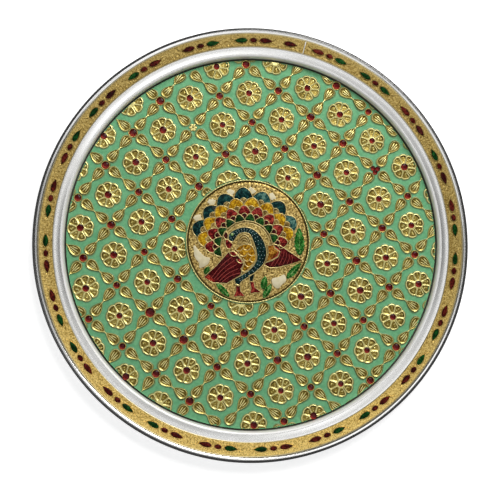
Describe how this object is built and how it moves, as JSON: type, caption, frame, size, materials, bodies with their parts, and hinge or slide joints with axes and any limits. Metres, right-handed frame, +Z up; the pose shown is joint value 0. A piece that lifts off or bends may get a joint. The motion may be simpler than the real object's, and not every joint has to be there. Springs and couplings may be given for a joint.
{
  "type": "enamel plate",
  "caption": "Round steel serving plate with a rolled rim, its floor and flange dressed in pressed gold sheet, coloured enamel fills and a peacock medallion.",
  "frame": {"origin": "centre of the plate's flat underside", "axes": "+Z up out of the plate's floor, +Y towards the top of the peacock, +X to the peacock's right-hand side as it is looked at"},
  "size_m": [0.28, 0.28, 0.009],
  "materials": {
    "steel": "polished stainless steel",
    "gold": "pressed gold-coloured sheet, satin",
    "mint": "glossy mint enamel",
    "ruby": "glossy translucent ruby enamel",
    "teal": "glossy translucent teal enamel",
    "amber": "glossy translucent amber enamel",
    "green": "glossy translucent green enamel",
    "cream": "pale cream enamel"
  },
  "bodies": {
    "root": {"steel_plate": "steel", "pressed_sheet": "gold", "enamel_ground": "mint", "medallion_disc": "gold", "medallion_rope": "gold", "rim_strip": "gold", "tail_green_1": "green", "tail_green_2": "green", "tail_green_3": "green", "tail_green_4": "green", "tail_green_5": "green", "tail_green_6": "green", "tail_green_7": "green", "tail_green_8": "green", "tail_green_9": "green", "tail_ruby_1": "ruby", "tail_ruby_2": "ruby", "tail_ruby_3": "ruby", "tail_ruby_4": "ruby", "tail_ruby_5": "ruby", "tail_ruby_6": "ruby", "tail_ruby_7": "ruby", "tail_ruby_8": "ruby", "tail_ruby_9": "ruby", "tail_amber_1": "amber", "tail_amber_2": "amber", "tail_amber_3": "amber", "tail_amber_4": "amber", "tail_amber_5": "amber", "tail_amber_6": "amber", "tail_amber_7": "amber", "tail_amber_8": "amber", "tail_teal_1": "teal", "tail_teal_2": "teal", "tail_teal_3": "teal", "tail_teal_4": "teal", "tail_teal_5": "teal", "tail_teal_6": "teal", "tail_teal_7": "teal", "cream_dot_1": "cream", "cream_dot_2": "cream", "cream_dot_3": "cream", "cream_dot_4": "cream", "cream_dot_5": "cream", "cream_patch_left": "cream", "cream_patch_right": "cream", "peacock_neck": "teal", "peacock_breast": "amber", "near_wing_flight": "ruby", "far_wing_coverts": "amber", "far_wing_flight": "ruby", "leg_left": "ruby", "leg_right": "ruby", "sprig_leaf_1": "green", "sprig_leaf_2": "green", "sprig_leaf_3": "green", "sprig_leaf_4": "green", "sprig_leaf_5": "green", "sprig_leaf_6": "green"}
  },
  "joints": []
}
